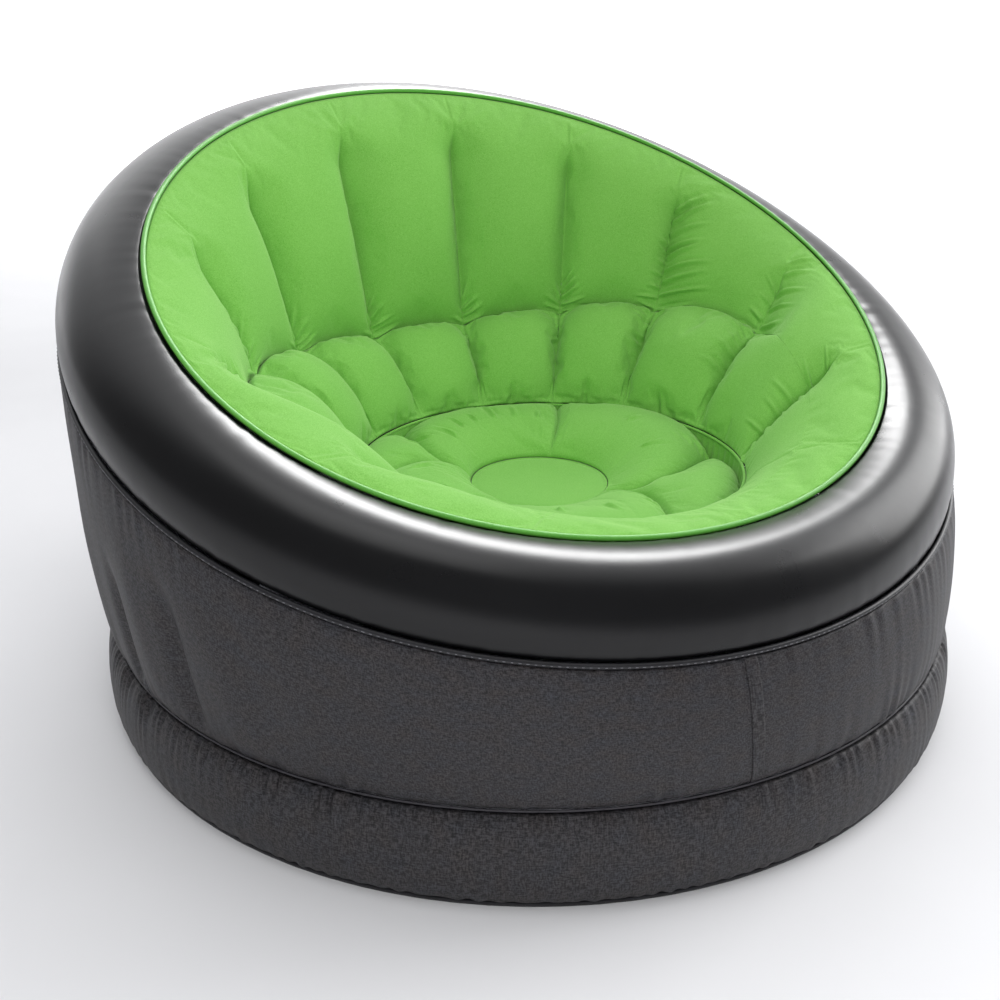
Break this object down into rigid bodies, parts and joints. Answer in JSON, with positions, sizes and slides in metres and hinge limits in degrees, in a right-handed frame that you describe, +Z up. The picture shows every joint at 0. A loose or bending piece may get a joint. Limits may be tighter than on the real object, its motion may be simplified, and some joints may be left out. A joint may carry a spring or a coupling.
{
  "type": "inflatable club chair",
  "caption": "Inflatable club chair: a round charcoal body and glossy top tube round a flocked bowl seat of air chambers, with its air valve.",
  "frame": {"origin": "on the floor, under the middle of the round base", "axes": "+Z up; the sitter faces -Y, so the high back is at +Y and the sitter's left is +X"},
  "size_m": [1.102, 1.091, 0.7097],
  "materials": {
    "green_flock": "matte",
    "gloss_black": "gloss",
    "charcoal_print": "satin",
    "tie_vinyl": "satin",
    "valve_black": "satin"
  },
  "bodies": {
    "shell": {"floor_panel": "gloss_black", "floor_weld_bead": "gloss_black", "base_side_panel": "charcoal_print", "waist_weld_bead": "charcoal_print", "body_side_panel": "charcoal_print", "side_lap_seam": "charcoal_print", "band_piping": "gloss_black", "top_band": "gloss_black", "rim_weld_lip": "green_flock", "back_panel": "green_flock", "seat_surround_panel": "green_flock", "seat_ring_weld": "green_flock", "seat_well_gusset": "green_flock", "seat_cushion": "green_flock", "seat_button": "green_flock", "tie_sheet_01": "tie_vinyl", "tie_sheet_02": "tie_vinyl", "tie_sheet_03": "tie_vinyl", "tie_sheet_04": "tie_vinyl", "tie_sheet_05": "tie_vinyl", "tie_sheet_06": "tie_vinyl", "tie_sheet_07": "tie_vinyl", "tie_sheet_08": "tie_vinyl", "tie_sheet_09": "tie_vinyl", "tie_sheet_10": "tie_vinyl", "waist_tie_ring": "tie_vinyl", "seat_well_skirt": "tie_vinyl", "seat_button_sleeve": "tie_vinyl", "valve_body": "valve_black"},
    "plug": {"deflation_plug": "valve_black"},
    "cap": {"inflation_cap": "valve_black"},
    "flap": {"non_return_flap": "tie_vinyl"}
  },
  "joints": [
    {"name": "plug_strap_bend", "type": "hinge", "parent": "shell", "child": "plug", "pos_m": [0.19471, 0.50596, 0.25672], "axis": [0.9358, -0.3525, -0.0037], "range_deg": [0, 120]},
    {"name": "cap_strap_bend", "type": "hinge", "parent": "plug", "child": "cap", "pos_m": [0.19455, 0.50589, 0.22164], "axis": [-0.9358, 0.3525, 0.0037], "range_deg": [0, 120]},
    {"name": "flap_bend", "type": "hinge", "parent": "plug", "child": "flap", "pos_m": [0.19085, 0.49587, 0.24145], "axis": [-0.9358, 0.3525, 0.0037], "range_deg": [0, 60], "stiffness_Nm_per_rad": 0.0002}
  ]
}
